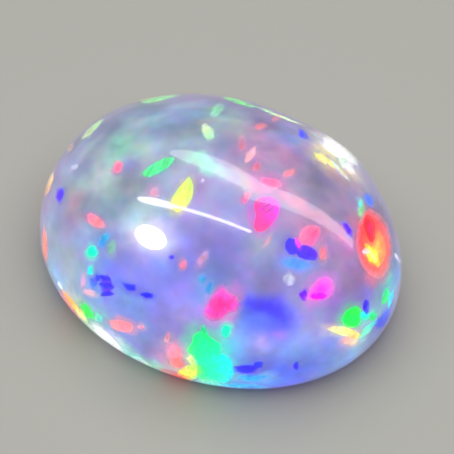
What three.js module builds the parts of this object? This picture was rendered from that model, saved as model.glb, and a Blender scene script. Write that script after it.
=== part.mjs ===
// A loose opal, cut as an oval cabochon: one polished stone with a high dome,
// a rounded lower edge and a flat base to rest on.
// Millimetres, +Z up. The origin is the middle of the flat base and +X runs
// along the long axis of the oval.
import * as THREE from 'three';
import { mergeVertices } from 'three/addons/utils/BufferGeometryUtils.js';

// Driving dimensions of the stone, in millimetres
const LENGTH = 10;
const WIDTH = 8;
const HEIGHT = 4.7;
const GIRDLE_HEIGHT = 0.95; // where the outline is widest, above the base
const WELD_DISTANCE = 1e-4;

// Shape of the curves, as plain ratios
const BASE_INSET = 0.12; // share of the outline's radius that the lower edge rounds away
const DOME_FULLNESS = 2.15; // 2 is half an ellipsoid, more gives the dome fuller shoulders
const CORNER_FULLNESS = 0.004; // how far the oval bulges between its two axes

// Hand polishing left the dome a little uneven, with two slight shoulders.
// Angles in degrees from +X, heights in mm, push as a share of the radius.
const SHOULDERS = [
  { angle: 66, height: 2.1, spreadAngle: 15, spreadHeight: 1.0, push: 0.038 },
  { angle: 150, height: 2.3, spreadAngle: 18, spreadHeight: 0.9, push: 0.012 },
];

// Fineness of the mesh
const STEPS_AROUND = 72;
const STEPS_LOWER_EDGE = 5;
const STEPS_DOME = 20;

const COLOUR = 0xa79fd2;
const ROUGHNESS = 0.08;

/** Lower edge of the section, from the rim of the flat base up to the girdle. */
function lowerEdge() {
  const points = [];
  for (let step = 0; step < STEPS_LOWER_EDGE; step++) {
    const turn = (Math.PI / 2) * (1 - step / STEPS_LOWER_EDGE);
    const radius = 1 - BASE_INSET * (1 - Math.cos(turn));
    const height = GIRDLE_HEIGHT * (1 - Math.sin(turn));
    points.push(new THREE.Vector2(radius, height));
  }
  return points;
}

/** Dome of the section, from the girdle up to the top of the stone. */
function dome() {
  const points = [];
  const rise = HEIGHT - GIRDLE_HEIGHT;
  for (let step = 0; step < STEPS_DOME; step++) {
    const share = Math.sin((Math.PI / 2) * (step / STEPS_DOME));
    const radius = Math.sqrt(1 - share ** DOME_FULLNESS);
    points.push(new THREE.Vector2(radius, GIRDLE_HEIGHT + rise * share));
  }
  return points;
}

/** Half section of the stone on a circle of radius 1, from the axis to the axis. */
function section() {
  const middleOfBase = new THREE.Vector2(0, 0);
  const top = new THREE.Vector2(0, HEIGHT);
  return [middleOfBase, ...lowerEdge(), ...dome(), top];
}

/** Shortest turn between two angles, in radians. */
function turnBetween(first, second) {
  return Math.atan2(Math.sin(first - second), Math.cos(first - second));
}

/** How much wider the stone is than a true oval, at an angle and a height. */
function unevenness(angle, height) {
  let factor = 1 - CORNER_FULLNESS * Math.cos(4 * angle);
  for (const shoulder of SHOULDERS) {
    const turn = turnBetween(angle, THREE.MathUtils.degToRad(shoulder.angle));
    const around = turn / THREE.MathUtils.degToRad(shoulder.spreadAngle);
    const above = (height - shoulder.height) / shoulder.spreadHeight;
    factor += shoulder.push * Math.exp(-(around ** 2) - above ** 2);
  }
  return factor;
}

/** Stretches the round turned form to the oval and gives it its shoulders. */
function shapeToOval(geometry) {
  const position = geometry.attributes.position;
  for (let i = 0; i < position.count; i++) {
    const x = position.getX(i);
    const y = position.getY(i);
    const factor = unevenness(Math.atan2(y, x), position.getZ(i));
    position.setX(i, (x * factor * LENGTH) / 2);
    position.setY(i, (y * factor * WIDTH) / 2);
  }
}

/** Drops the triangles that shrink to nothing where the section meets the axis. */
function withoutEmptyTriangles(geometry) {
  const index = geometry.index.array;
  const kept = [];
  for (let i = 0; i < index.length; i += 3) {
    const corners = [index[i], index[i + 1], index[i + 2]];
    if (new Set(corners).size === 3) {
      kept.push(...corners);
    }
  }
  geometry.setIndex(kept);
  return geometry;
}

/** The whole stone as one closed surface. */
function stoneGeometry() {
  const turned = new THREE.LatheGeometry(section(), STEPS_AROUND);
  turned.rotateX(Math.PI / 2);
  shapeToOval(turned);
  turned.deleteAttribute('normal');
  turned.deleteAttribute('uv');
  const closed = withoutEmptyTriangles(mergeVertices(turned, WELD_DISTANCE));
  closed.computeVertexNormals();
  return closed;
}

const polish = new THREE.MeshStandardMaterial({ color: COLOUR, roughness: ROUGHNESS, metalness: 0 });
const opal = new THREE.Mesh(stoneGeometry(), polish);
opal.name = 'opal';

const part = new THREE.Group();
part.add(opal);

export default part;
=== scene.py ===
import math
import random
from dataclasses import dataclass

import bpy
import numpy as np
from bpy.props import FloatProperty, FloatVectorProperty, IntProperty, PointerProperty
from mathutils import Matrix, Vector, noise
from mathutils.bvhtree import BVHTree


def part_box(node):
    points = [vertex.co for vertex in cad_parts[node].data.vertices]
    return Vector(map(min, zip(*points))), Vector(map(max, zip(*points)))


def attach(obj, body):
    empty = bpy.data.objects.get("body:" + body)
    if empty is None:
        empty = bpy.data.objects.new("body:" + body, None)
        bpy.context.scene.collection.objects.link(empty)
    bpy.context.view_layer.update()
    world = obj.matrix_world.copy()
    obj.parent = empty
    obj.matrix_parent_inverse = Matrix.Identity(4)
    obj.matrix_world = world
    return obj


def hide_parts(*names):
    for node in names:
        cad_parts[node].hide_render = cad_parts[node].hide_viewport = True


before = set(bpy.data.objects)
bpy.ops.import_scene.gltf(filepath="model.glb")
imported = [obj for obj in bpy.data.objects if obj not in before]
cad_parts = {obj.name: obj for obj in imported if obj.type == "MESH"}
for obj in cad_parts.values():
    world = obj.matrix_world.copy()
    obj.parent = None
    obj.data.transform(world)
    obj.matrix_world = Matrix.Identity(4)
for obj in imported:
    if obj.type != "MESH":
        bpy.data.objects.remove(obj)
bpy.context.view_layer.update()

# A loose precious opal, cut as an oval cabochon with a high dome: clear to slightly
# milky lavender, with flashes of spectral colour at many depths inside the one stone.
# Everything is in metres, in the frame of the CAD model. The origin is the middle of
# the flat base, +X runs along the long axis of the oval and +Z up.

bl_info = {
    "name": "Loose opal",
    "version": (1, 0, 0),
    "blender": (4, 5, 0),
    "location": "3D View > Sidebar > Opal",
    "description": "Builds a polished oval opal with its inner flashes of colour, and its studio",
    "category": "Object",
}

MM = 0.001
STONE_LOW, STONE_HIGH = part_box("opal")

# Curves of the cut, as plain ratios, the same as the CAD model's
CORNER_FULLNESS = 0.004
STONE_LENGTH = 2 * STONE_HIGH.x / (1 - CORNER_FULLNESS)
STONE_WIDTH = -2 * STONE_LOW.y / (1 - CORNER_FULLNESS)
STONE_HEIGHT = STONE_HIGH.z

# The two slight shoulders that hand polishing left
# Angles in degrees from +X, push as a share of the radius
SHOULDERS = (
    {"angle": 66, "height": 2.1 * MM, "spread_angle": 15, "spread_height": 1.0 * MM, "push": 0.038},
    {"angle": 150, "height": 2.3 * MM, "spread_angle": 18, "spread_height": 0.9 * MM, "push": 0.012},
)

# Photograph and camera
PHOTO_SIDE = 454
STONE_MIDDLE = (222, 242)
CAMERA_TARGET = Vector((0.286, -0.1455, 2.2)) * MM
SENSOR = 36.0


def linear(red, green, blue):
    """A colour given as the 0 to 255 steps of a screen, as scene-linear values."""
    steps = (red / 255, green / 255, blue / 255)
    return tuple(s / 12.92 if s <= 0.04045 else ((s + 0.055) / 1.055) ** 2.4 for s in steps)


def length_setting(name, description, default):
    """A length that a user can change."""
    return FloatProperty(name=name, description=description, default=default, unit="LENGTH")


def angle_setting(name, description, degrees):
    """An angle that a user can change."""
    return FloatProperty(
        name=name, description=description, default=math.radians(degrees), subtype="ANGLE"
    )


def share_setting(name, description, default, highest=1.0):
    """A share from 0 to 1 that a user can change."""
    return FloatProperty(
        name=name, description=description, default=default, min=0.0, max=highest, subtype="FACTOR"
    )


def light_setting(name, description, default):
    """A brightness that a user can change."""
    return FloatProperty(name=name, description=description, default=default, min=0.0)


def colour_setting(name, description, default):
    """A colour that a user can change."""
    return FloatVectorProperty(
        name=name, description=description, default=default, subtype="COLOR", size=3, min=0.0, max=1.0
    )


def hue_setting(name, red, green, blue):
    """A colour of the light inside the stone, given in the steps of a screen."""
    description = f"Colour of the {name.lower()} light inside the stone"
    return colour_setting(name, description, linear(red, green, blue))


class OpalStoneSettings(bpy.types.PropertyGroup):
    """Sizes and finish of the stone."""

    length: length_setting("Length", "Long axis of the oval", STONE_LENGTH)
    width: length_setting("Width", "Short axis of the oval", STONE_WIDTH)
    height: length_setting("Height", "Base to the top of the dome", STONE_HEIGHT)
    girdle_height: length_setting("Girdle height", "Where the outline is widest", 0.95 * MM)
    base_inset: share_setting("Base inset", "Share of the radius that the lower edge rounds away", 0.12)
    dome_fullness: FloatProperty(
        name="Dome fullness", description="2 is half an ellipsoid, more has fuller shoulders", default=2.15
    )
    body_colour: colour_setting(
        "Body colour", "Tint of the light that passes through the stone", (0.51, 0.46, 0.74)
    )
    body_glow: light_setting("Body glow", "Light that the body sends back by itself", 0.24)
    cloud_glow: light_setting("Cloud glow", "Light that the coloured clouds send back by themselves", 0.36)
    halo_glow: light_setting("Halo glow", "Light round the flashes", 0.32)
    milkiness: share_setting("Milkiness", "Share of light that is scattered instead of passed on", 0.12)
    refraction: FloatProperty(
        name="Index of refraction", description="How strongly the stone bends light", default=1.45
    )
    roughness: share_setting("Inner blur", "Roughness of the light that enters the stone", 0.21)
    polish: share_setting("Polish", "Roughness of the wet-looking outer gloss", 0.035)


class OpalHueSettings(bpy.types.PropertyGroup):
    """Spectrum of the flashes, and colours of the clouds."""

    magenta: hue_setting("Magenta", 240, 5, 255)
    hot_pink: hue_setting("Hot pink", 255, 45, 150)
    red: hue_setting("Red", 255, 50, 75)
    orange: hue_setting("Orange", 255, 135, 50)
    gold: hue_setting("Gold", 255, 235, 70)
    lime: hue_setting("Lime", 165, 255, 80)
    emerald: hue_setting("Emerald", 0, 245, 85)
    turquoise: hue_setting("Turquoise", 0, 245, 195)
    cyan: hue_setting("Cyan", 0, 232, 255)
    sky: hue_setting("Sky blue", 70, 155, 255)
    azure: hue_setting("Azure", 55, 90, 255)
    blue: hue_setting("Blue", 35, 12, 250)
    violet_blue: hue_setting("Violet blue", 58, 0, 240)
    violet: hue_setting("Violet", 105, 25, 255)
    teal_haze: hue_setting("Teal haze", 150, 190, 155)
    grey_mauve: hue_setting("Grey mauve", 160, 150, 160)
    mauve: hue_setting("Mauve", 205, 140, 175)
    rose_haze: hue_setting("Rose haze", 255, 140, 170)
    mint_haze: hue_setting("Mint haze", 140, 245, 185)
    lilac: hue_setting("Lilac", 200, 180, 250)
    lavender: hue_setting("Lavender", 150, 140, 205)
    light_blue: hue_setting("Light blue", 115, 170, 245)
    violet_haze: hue_setting("Violet haze", 120, 110, 235)
    aqua: hue_setting("Aqua", 90, 195, 250)
    orchid: hue_setting("Orchid", 180, 105, 225)
    # The white of the painted highlights, the painted glare and the painted band light
    pearl: hue_setting("Pearl", 255, 251, 242)
    cream_haze: hue_setting("Cream haze", 255, 235, 150)


class OpalFlashSettings(bpy.types.PropertyGroup):
    """Brightness and make of the flashes."""

    brightness: light_setting("Brightness", "Light that a flash sends out", 1.05)
    thickness: length_setting("Thickness", "Thickness of the layer that a flash comes from", 0.03 * MM)
    fade_start: share_setting(
        "Fade start", "Where a flash starts to fade, as a share of the way to its rim", 0.72, highest=0.95
    )
    rim_light: share_setting("Rim light", "Share of its light that a flash keeps at its rim", 0.35)
    rim_colour: colour_setting(
        "Rim colour", "Light of the stone that a flash fades to at its rim", (0.34, 0.33, 0.50)
    )
    hidden_count: IntProperty(
        name="Unseen flashes", description="Flashes on the sides that the photograph hides", default=70, min=0
    )


class OpalStageSettings(bpy.types.PropertyGroup):
    """Floor, light and camera."""

    floor_colour: colour_setting("Floor colour", "Plain floor under the stone", linear(130, 129, 123))
    floor_gap: length_setting("Floor gap", "Gap between the base and the floor", 0.02 * MM)
    world_brightness: light_setting("Surroundings", "Soft light all round", 0.22)
    camera_elevation: angle_setting("Camera elevation", "Height of the view above the horizon", 52.22)
    camera_azimuth: angle_setting("Camera azimuth", "Turn of the view from -Y towards +X", 27.47)
    camera_distance: length_setting("Camera distance", "Camera to the stone", 95 * MM)
    camera_lens: FloatProperty(
        name="Focal length", description="Lens on a 36 mm sensor", default=287.4, unit="CAMERA"
    )


@dataclass
class Flash:
    """A flash of colour inside the stone.

    It has a hue at each end and, in millimetres, a size as seen and a depth under the surface.
    Turn is in degrees, up and to the left from the photograph's right, and core is the hue of its
    middle. Seen_at is its place in the photograph. Corners, as points of the photograph, give the
    outline of the larger shapes instead. A firm flash keeps its light right up to its edge.
    """

    hue: str
    far_hue: str
    size: tuple = None
    seen_at: tuple = None
    corners: tuple = None
    turn: float = 0.0
    depth: float = 0.3
    shape: str = "patch"
    glow: float = 1.0
    core: str = None
    firm: bool = False


@dataclass
class Cloud:
    """A soft cloud of colour in the body, or of painted light over it, with its half sizes in millimetres.

    Seen_at is its place in the photograph. A higher edge ends the cloud more firmly, and a lower
    shade lets less light through.
    """

    hue: str
    strength: float
    half_size: tuple
    seen_at: tuple
    turn: float = 0.0
    edge: float = 2.0
    glow: float = 1.0
    shade: float = 0.82


# What the photograph shows of the play of colour, with a few painted highlights among it, one flash a line
ROSE_FLASHES = (
    Flash("rose", "rose", (0.34, 0.26), seen_at=(118, 167), turn=70, depth=0.4, glow=0.85),
    Flash("rose", "mauve", (0.3, 0.26), seen_at=(154, 192), turn=60, depth=0.6, glow=0.65),
    Flash("rose", "salmon", (0.36, 0.18), seen_at=(261, 126), turn=12, depth=0.7, glow=0.75),
    Flash("rose", "salmon", (0.24, 0.14), seen_at=(276, 118), turn=40, depth=0.7, glow=0.7),
    Flash("rose", "mauve", (0.4, 0.22), seen_at=(242, 143), turn=80, depth=0.8, glow=0.55),
    Flash("salmon", "pale_pink", (0.46, 0.2), seen_at=(250, 155), turn=55, shape="streak"),
    Flash("rose", "rose", (0.32, 0.2), seen_at=(257, 167), turn=60, depth=0.6, glow=0.75),
    Flash("rose", "salmon", (0.32, 0.18), seen_at=(289, 173), turn=20, depth=0.6, glow=0.85),
    Flash("pink", "rose", (0.7, 0.36), seen_at=(270, 183), turn=-12, depth=0.6, glow=0.95),
    Flash("hot_pink", "rose", (0.36, 0.16), seen_at=(247, 198), turn=60, shape="streak"),
    Flash(
        "red", "magenta", turn=28, depth=0.22, glow=1.05, firm=True,
        corners=(
            (257, 199), (265, 196), (277, 200), (280, 207), (277, 217), (270, 226), (262, 232),
            (256, 231), (254, 225), (256, 215), (254, 205),
        ),
    ),
    Flash("purple", "purple", (0.44, 0.05), seen_at=(263, 201), turn=36, depth=0.1, glow=0.5, firm=True),
    Flash("purple", "purple", (0.5, 0.05), seen_at=(266, 206), turn=36, depth=0.1, glow=0.5, firm=True),
    Flash("purple", "purple", (0.46, 0.05), seen_at=(268, 211), turn=36, depth=0.1, glow=0.5, firm=True),
    Flash("purple", "purple", (0.32, 0.04), seen_at=(269, 216), turn=36, depth=0.1, glow=0.6, firm=True),
    Flash(
        "red", "coral", turn=-80, depth=0.16, glow=0.98, core="orange",
        corners=(
            (370, 210), (380, 216), (387, 226), (391, 240), (392, 255), (388, 267), (380, 277),
            (371, 274), (363, 266), (358, 253), (357, 239), (359, 225), (364, 215),
        ),
    ),
    Flash(
        "red", "red", (0.66, 0.34), seen_at=(370, 228), turn=-75, depth=0.12, glow=0.92,
        core="hot_pink", firm=True,
    ),
    Flash(
        "rose", "pink", turn=-60, depth=0.35, glow=0.95,
        corners=(
            (303, 228), (311, 225), (319, 227), (321, 233), (317, 240), (312, 246), (303, 247),
            (298, 241),
        ),
    ),
    Flash("salmon", "rose", (0.38, 0.24), seen_at=(323, 254), turn=80, depth=0.5, glow=0.8),
    Flash("pale_pink", "mauve", (0.36, 0.12), seen_at=(268, 241), turn=60, depth=0.7, glow=0.5),
    Flash("pink", "magenta", (0.28, 0.13), seen_at=(298, 243), turn=-66, depth=0.08, glow=0.9, firm=True),
    Flash(
        "pink", "light_magenta", turn=30, glow=1.05, core="magenta",
        corners=(
            (325, 276), (333, 281), (334, 291), (327, 299), (315, 301), (306, 299), (310, 288),
            (317, 280),
        ),
    ),
    Flash("magenta", "magenta", (0.38, 0.18), seen_at=(318, 296), depth=0.1, glow=0.85, firm=True),
    Flash("rose", "salmon", (0.56, 0.3), seen_at=(95, 221), turn=-32, glow=0.9),
    Flash("coral", "salmon", (0.92, 0.16), seen_at=(45, 246), turn=92, depth=0.1, shape="streak"),
    Flash("pale_pink", "mauve", (0.34, 0.12), seen_at=(83, 281), turn=80, depth=0.5, glow=0.7),
    Flash("pale_pink", "pale_pink", (0.34, 0.17), seen_at=(90, 293), turn=-10, glow=0.8),
    Flash("coral", "salmon", (0.9, 0.12), seen_at=(67, 305), turn=-52, depth=0.1, shape="streak"),
    Flash(
        "salmon", "rose", turn=-8, depth=0.25,
        corners=((110, 321), (119, 320), (131, 323), (133, 328), (129, 332), (114, 331)),
    ),
    Flash("pale_pink", "rose", (0.18, 0.11), seen_at=(141, 327), turn=-15, glow=0.8),
    Flash("salmon", "rose", (0.27, 0.2), seen_at=(183, 265), turn=95, glow=0.85),
    Flash("mauve", "pale_pink", (0.42, 0.2), seen_at=(202, 259), turn=50, depth=0.7, glow=0.6),
    Flash(
        "pink", "pink", turn=10, depth=0.28, core="hot_pink",
        corners=(
            (222, 284), (227, 292), (236, 297), (239, 304), (235, 311), (227, 313), (221, 319),
            (213, 320), (205, 315), (206, 307), (214, 294),
        ),
    ),
    Flash(
        "mauve", "salmon", turn=-50, depth=0.6, glow=0.8,
        corners=((166, 345), (174, 342), (182, 350), (183, 359), (176, 364), (167, 357)),
    ),
    Flash("pale_pink", "salmon", (0.3, 0.18), seen_at=(167, 338), turn=80, glow=0.75),
    Flash("salmon", "coral", (0.42, 0.28), seen_at=(177, 362), turn=-20, glow=0.95),
    Flash("coral", "red", (0.78, 0.14), seen_at=(175, 377), turn=-21, depth=0.1, shape="streak"),
)

GOLD_FLASHES = (
    Flash("cream", "mint", (0.72, 0.14), seen_at=(92, 129), turn=42, depth=0.12, shape="streak", glow=0.8),
    Flash("cream", "salmon", (0.3, 0.12), seen_at=(70, 148), turn=50, depth=0.12, glow=0.6),
    Flash("orange", "cream", (0.6, 0.13), seen_at=(49, 184), turn=70, depth=0.1, shape="streak"),
    Flash("cream", "mint", (0.5, 0.3), seen_at=(207, 131), turn=-65, depth=0.4, glow=0.85),
    Flash(
        "gold", "lime", turn=60, depth=0.16, firm=True,
        corners=(
            (189, 177), (193, 186), (192, 198), (186, 207), (177, 212), (170, 206), (172, 198),
            (179, 188),
        ),
    ),
    # Streaks in the bright patch by the upper right rim: gold flashes of the stone, whose cream and white
    # ends are partly painted highlight
    Flash("gold", "cream", (0.4, 0.2), seen_at=(321, 158), turn=-48, depth=0.4, glow=0.9),
    Flash("gold", "cream", (0.56, 0.09), seen_at=(329, 162), turn=-46, shape="streak", glow=0.85),
    Flash("cream", "white", (0.6, 0.08), seen_at=(337, 167), turn=-46, shape="streak", glow=0.85),
    Flash("cream", "white", (0.5, 0.07), seen_at=(343, 174), turn=-46, shape="streak", glow=0.75),
    Flash(
        "orange", "orange", turn=-75, depth=0.1, glow=0.98, core="gold", firm=True,
        corners=(
            (379, 230), (384, 238), (386, 250), (384, 260), (378, 268), (371, 262), (364, 253),
            (366, 245), (372, 243), (376, 237),
        ),
    ),
    Flash(
        "gold", "gold", (0.56, 0.24), seen_at=(372, 255), turn=-62, depth=0.06, glow=1.1,
        core="cream", firm=True,
    ),
    Flash("pale_pink", "cream", (0.18, 0.14), seen_at=(366, 251), depth=0.03, firm=True),
    Flash(
        "cream", "gold", turn=-10, firm=True,
        corners=((327, 329), (336, 326), (348, 328), (360, 334), (357, 339), (345, 336), (335, 333)),
    ),
    Flash("salmon", "cream", (0.44, 0.28), seen_at=(350, 341), turn=-5, depth=0.4, glow=0.9),
    Flash("orange", "gold", (0.92, 0.14), seen_at=(72, 303), turn=-52, depth=0.14, shape="streak"),
    Flash("gold", "cream", (0.56, 0.13), seen_at=(80, 313), turn=-52, depth=0.14, shape="streak"),
    Flash(
        "gold", "lime", turn=60, depth=0.18, firm=True,
        corners=((177, 373), (188, 365), (197, 366), (196, 379), (185, 380)),
    ),
    Flash("cream", "lime", (0.38, 0.2), seen_at=(192, 361), turn=-50, depth=0.24, glow=0.9),
)

GREEN_FLASHES = (
    Flash("mint", "mint", (0.94, 0.17), seen_at=(160, 98), turn=12, depth=0.12, shape="streak", glow=0.8),
    Flash("spring", "spring", (0.84, 0.28), seen_at=(159, 167), turn=26, depth=0.2, glow=0.85, firm=True),
    Flash("mint", "teal_haze", (0.4, 0.3), seen_at=(217, 110), turn=30, depth=0.7, glow=0.65),
    Flash("emerald", "mint", (0.82, 0.13), seen_at=(240, 102), turn=-17, depth=0.1, shape="streak"),
    Flash("mint", "cream", (1.3, 0.07), seen_at=(280, 116), turn=-21, depth=0.08, shape="streak"),
    Flash("mint", "mint", (0.36, 0.18), seen_at=(362, 211), turn=85, depth=0.4, glow=0.7),
    Flash("cyan", "teal_haze", (0.24, 0.14), seen_at=(361, 203), turn=80, glow=0.75),
    Flash("emerald", "turquoise", (0.42, 0.2), seen_at=(386, 295), turn=75, depth=0.2, glow=0.95),
    Flash("cyan", "cyan", (0.46, 0.11), seen_at=(391, 299), turn=75, depth=0.1, shape="streak"),
    Flash(
        "emerald", "emerald", turn=30, depth=0.25, glow=1.05, firm=True,
        corners=((355, 306), (361, 310), (362, 319), (357, 327), (346, 327), (342, 319), (346, 311)),
    ),
    Flash("emerald", "turquoise", (0.3, 0.22), seen_at=(372, 316), turn=80, depth=0.2),
    Flash("turquoise", "cyan", (0.24, 0.22), seen_at=(365, 315), turn=60, depth=0.14),
    Flash("mint", "cyan", (0.66, 0.15), seen_at=(368, 329), turn=48, depth=0.14, shape="streak"),
    Flash("turquoise", "turquoise", (0.36, 0.32), seen_at=(92, 252), turn=70, depth=0.24),
    Flash("sky", "cyan", (0.46, 0.24), seen_at=(104, 240), turn=58, depth=0.5, glow=0.75),
    Flash("teal_haze", "mint", (0.38, 0.18), seen_at=(111, 248), turn=80, depth=0.6, glow=0.6),
    Flash("cyan", "turquoise", (0.26, 0.16), seen_at=(90, 271), turn=80, depth=0.2, glow=0.95),
    Flash("sky", "azure", (0.34, 0.22), seen_at=(94, 283), turn=80, depth=0.6, glow=0.8),
    Flash("emerald", "emerald", (0.5, 0.28), seen_at=(87, 311), turn=-50, depth=0.2),
    Flash("mint", "cyan", (0.36, 0.2), seen_at=(98, 317), turn=-45, glow=0.85),
    Flash(
        "emerald", "turquoise", turn=-25, glow=1.05, firm=True,
        corners=(
            (204, 324), (208, 335), (214, 340), (221, 345), (220, 355), (214, 362), (204, 366),
            (196, 364), (190, 357), (187, 349), (192, 343), (194, 335), (200, 331),
        ),
    ),
    Flash(
        "emerald", "cyan", turn=12, depth=0.35, glow=1.05, firm=True,
        corners=(
            (197, 365), (205, 363), (214, 359), (222, 353), (231, 360), (234, 373), (228, 382),
            (214, 384), (203, 382), (197, 376),
        ),
    ),
    Flash("turquoise", "turquoise", (0.42, 0.26), seen_at=(226, 331), turn=80, depth=0.2),
    Flash("cyan", "sky", (0.28, 0.2), seen_at=(202, 279), turn=60, depth=0.7, glow=0.6),
    Flash("cyan", "sky", (0.34, 0.18), seen_at=(209, 289), turn=70, depth=0.7, glow=0.6),
    Flash("mint", "cyan", (0.9, 0.1), seen_at=(212, 383), turn=-8, depth=0.1, shape="streak"),
    Flash("cyan", "sky", (1.2, 0.14), seen_at=(243, 386), turn=-2, depth=0.1, shape="streak"),
    Flash("cyan", "sky", (0.9, 0.22), seen_at=(252, 378), turn=2, depth=0.5, glow=0.85),
    # Along the lower rim: mint of the stone, whose white end is partly painted highlight
    Flash("mint", "white", (0.58, 0.12), seen_at=(141, 361), turn=-28, depth=0.1, shape="streak", glow=0.9),
)

BLUE_FLASHES = (
    Flash("violet", "violet_blue", (0.34, 0.2), seen_at=(60, 195), turn=72),
    Flash("blue", "azure", (0.26, 0.17), seen_at=(302, 134), turn=-45, depth=0.2),
    Flash("azure", "sky", (0.42, 0.17), seen_at=(369, 200), turn=-60, depth=0.2, glow=0.9),
    Flash("violet", "violet", (0.36, 0.18), seen_at=(347, 229), turn=-58, depth=0.2),
    Flash(
        "violet_blue", "violet_blue", depth=0.1, glow=0.88, firm=True,
        corners=((289, 238), (296, 240), (299, 246), (297, 253), (291, 255), (286, 250), (285, 243)),
    ),
    Flash(
        "violet_blue", "violet", depth=0.1, glow=0.88, firm=True,
        corners=(
            (299, 246), (306, 245), (314, 249), (318, 255), (315, 260), (308, 260), (299, 257),
            (295, 251),
        ),
    ),
    Flash("sky", "sky", (0.7, 0.36), seen_at=(295, 263), turn=-8, depth=0.6, glow=0.85),
    Flash("violet_blue", "violet_blue", (0.34, 0.18), seen_at=(366, 306), turn=95, depth=0.1, firm=True),
    Flash("azure", "azure", (0.6, 0.26), seen_at=(383, 320), turn=58, depth=0.45, glow=0.85),
    Flash("violet", "violet", (0.6, 0.34), seen_at=(107, 286), turn=95, depth=0.45, glow=0.75),
    Flash("blue", "blue", (0.34, 0.13), seen_at=(105, 278), turn=-14, depth=0.1, glow=0.75, firm=True),
    Flash("blue", "violet_blue", (0.4, 0.13), seen_at=(107, 286), turn=-8, depth=0.1, glow=0.72, firm=True),
    Flash("blue", "blue", (0.36, 0.15), seen_at=(107, 294), depth=0.1, glow=0.75, firm=True),
    Flash("azure", "blue", (0.26, 0.22), seen_at=(98, 278), turn=-15, depth=0.5, glow=0.8),
    Flash("azure", "blue", (0.46, 0.2), seen_at=(130, 287), turn=-20, depth=0.5, glow=0.8),
    Flash("blue", "blue", (0.38, 0.16), seen_at=(147, 295), turn=-8, depth=0.4, glow=0.85),
    Flash("violet_blue", "blue", (0.14, 0.11), seen_at=(171, 257)),
    Flash("amethyst", "amethyst", (0.26, 0.2), seen_at=(304, 295), turn=70, depth=0.1, glow=0.9, firm=True),
    Flash("blue", "violet_blue", (0.62, 0.24), seen_at=(247, 369), turn=4, depth=0.35, glow=0.9),
    Flash("blue", "azure", (0.34, 0.2), seen_at=(258, 365), turn=20, depth=0.35, glow=0.85),
    Flash("blue", "blue", (0.2, 0.19), seen_at=(296, 366), turn=60, glow=0.9),
)

# Pale flashes, and painted highlights: the small round spot, the bright patch by the upper right rim and
# white streaks along the rim
PALE_FLASHES_AND_PAINTED_HIGHLIGHTS = (
    Flash("lilac", "white", (0.22, 0.14), seen_at=(74, 167), turn=30, depth=0.5, glow=0.6),
    Flash("lilac", "white", (0.09, 0.08), seen_at=(203, 180), glow=0.8),
    # Painted highlight: the small round spot
    Flash("lilac", "white", (0.3, 0.29), seen_at=(289, 280), depth=0.05, shape="oval", glow=0.62),
    # Painted highlight: the bright white patch by the upper right rim, and its cream edge
    Flash("white", "white", (1.12, 0.4), seen_at=(340, 149), turn=-41, glow=1.1),
    Flash("cream", "white", (0.58, 0.24), seen_at=(347, 165), turn=-50, shape="streak", glow=0.95),
    # Painted highlights: white streaks along the rim
    Flash("white", "lilac", (0.3, 0.09), seen_at=(398, 258), turn=-57, depth=0.08, shape="streak"),
    Flash("white", "cream", (0.24, 0.1), seen_at=(60, 285), turn=-60, depth=0.1, shape="streak"),
    Flash("white", "white", (1.05, 0.22), seen_at=(109, 340), turn=-44, depth=0.1, shape="streak"),
)

# Hues of the spectrum in order, from magenta round to magenta again
SPECTRUM = (
    "magenta", "hot_pink", "red", "orange", "gold", "lime", "emerald", "turquoise",
    "cyan", "sky", "azure", "blue", "violet_blue", "violet", "magenta",
)

# A flash's hue: its step on the spectrum, and how far it is washed out to white
FLASH_HUES = {
    "magenta": (0.0, 0.0),
    "hot_pink": (1.0, 0.0),
    "light_magenta": (0.2, 0.2),
    "pink": (0.75, 0.08),
    "rose": (1.25, 0.22),
    "pale_pink": (1.3, 0.6),
    "mauve": (0.6, 0.5),
    "red": (2.0, 0.0),
    "coral": (2.35, 0.12),
    "salmon": (2.1, 0.35),
    "orange": (3.1, 0.1),
    "gold": (4.0, 0.0),
    "cream": (4.0, 0.6),
    "lime": (5.0, 0.15),
    "emerald": (6.0, 0.0),
    "spring": (6.45, 0.1),
    "mint": (6.2, 0.4),
    "teal_haze": (6.9, 0.45),
    "turquoise": (7.0, 0.0),
    "cyan": (8.0, 0.0),
    "sky": (9.0, 0.05),
    "azure": (10.0, 0.0),
    "blue": (11.0, 0.0),
    "violet_blue": (12.0, 0.0),
    "violet": (13.0, 0.0),
    "amethyst": (13.12, 0.0),
    "lilac": (13.0, 0.6),
    "purple": (14.0, 0.0),
    "white": (13.0, 1.0),
}

FLASH_FAMILIES = {
    "rose_flashes": ROSE_FLASHES,
    "gold_flashes": GOLD_FLASHES,
    "green_flashes": GREEN_FLASHES,
    "blue_flashes": BLUE_FLASHES,
    "pale_flashes_and_painted_highlights": PALE_FLASHES_AND_PAINTED_HIGHLIGHTS,
}
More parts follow.
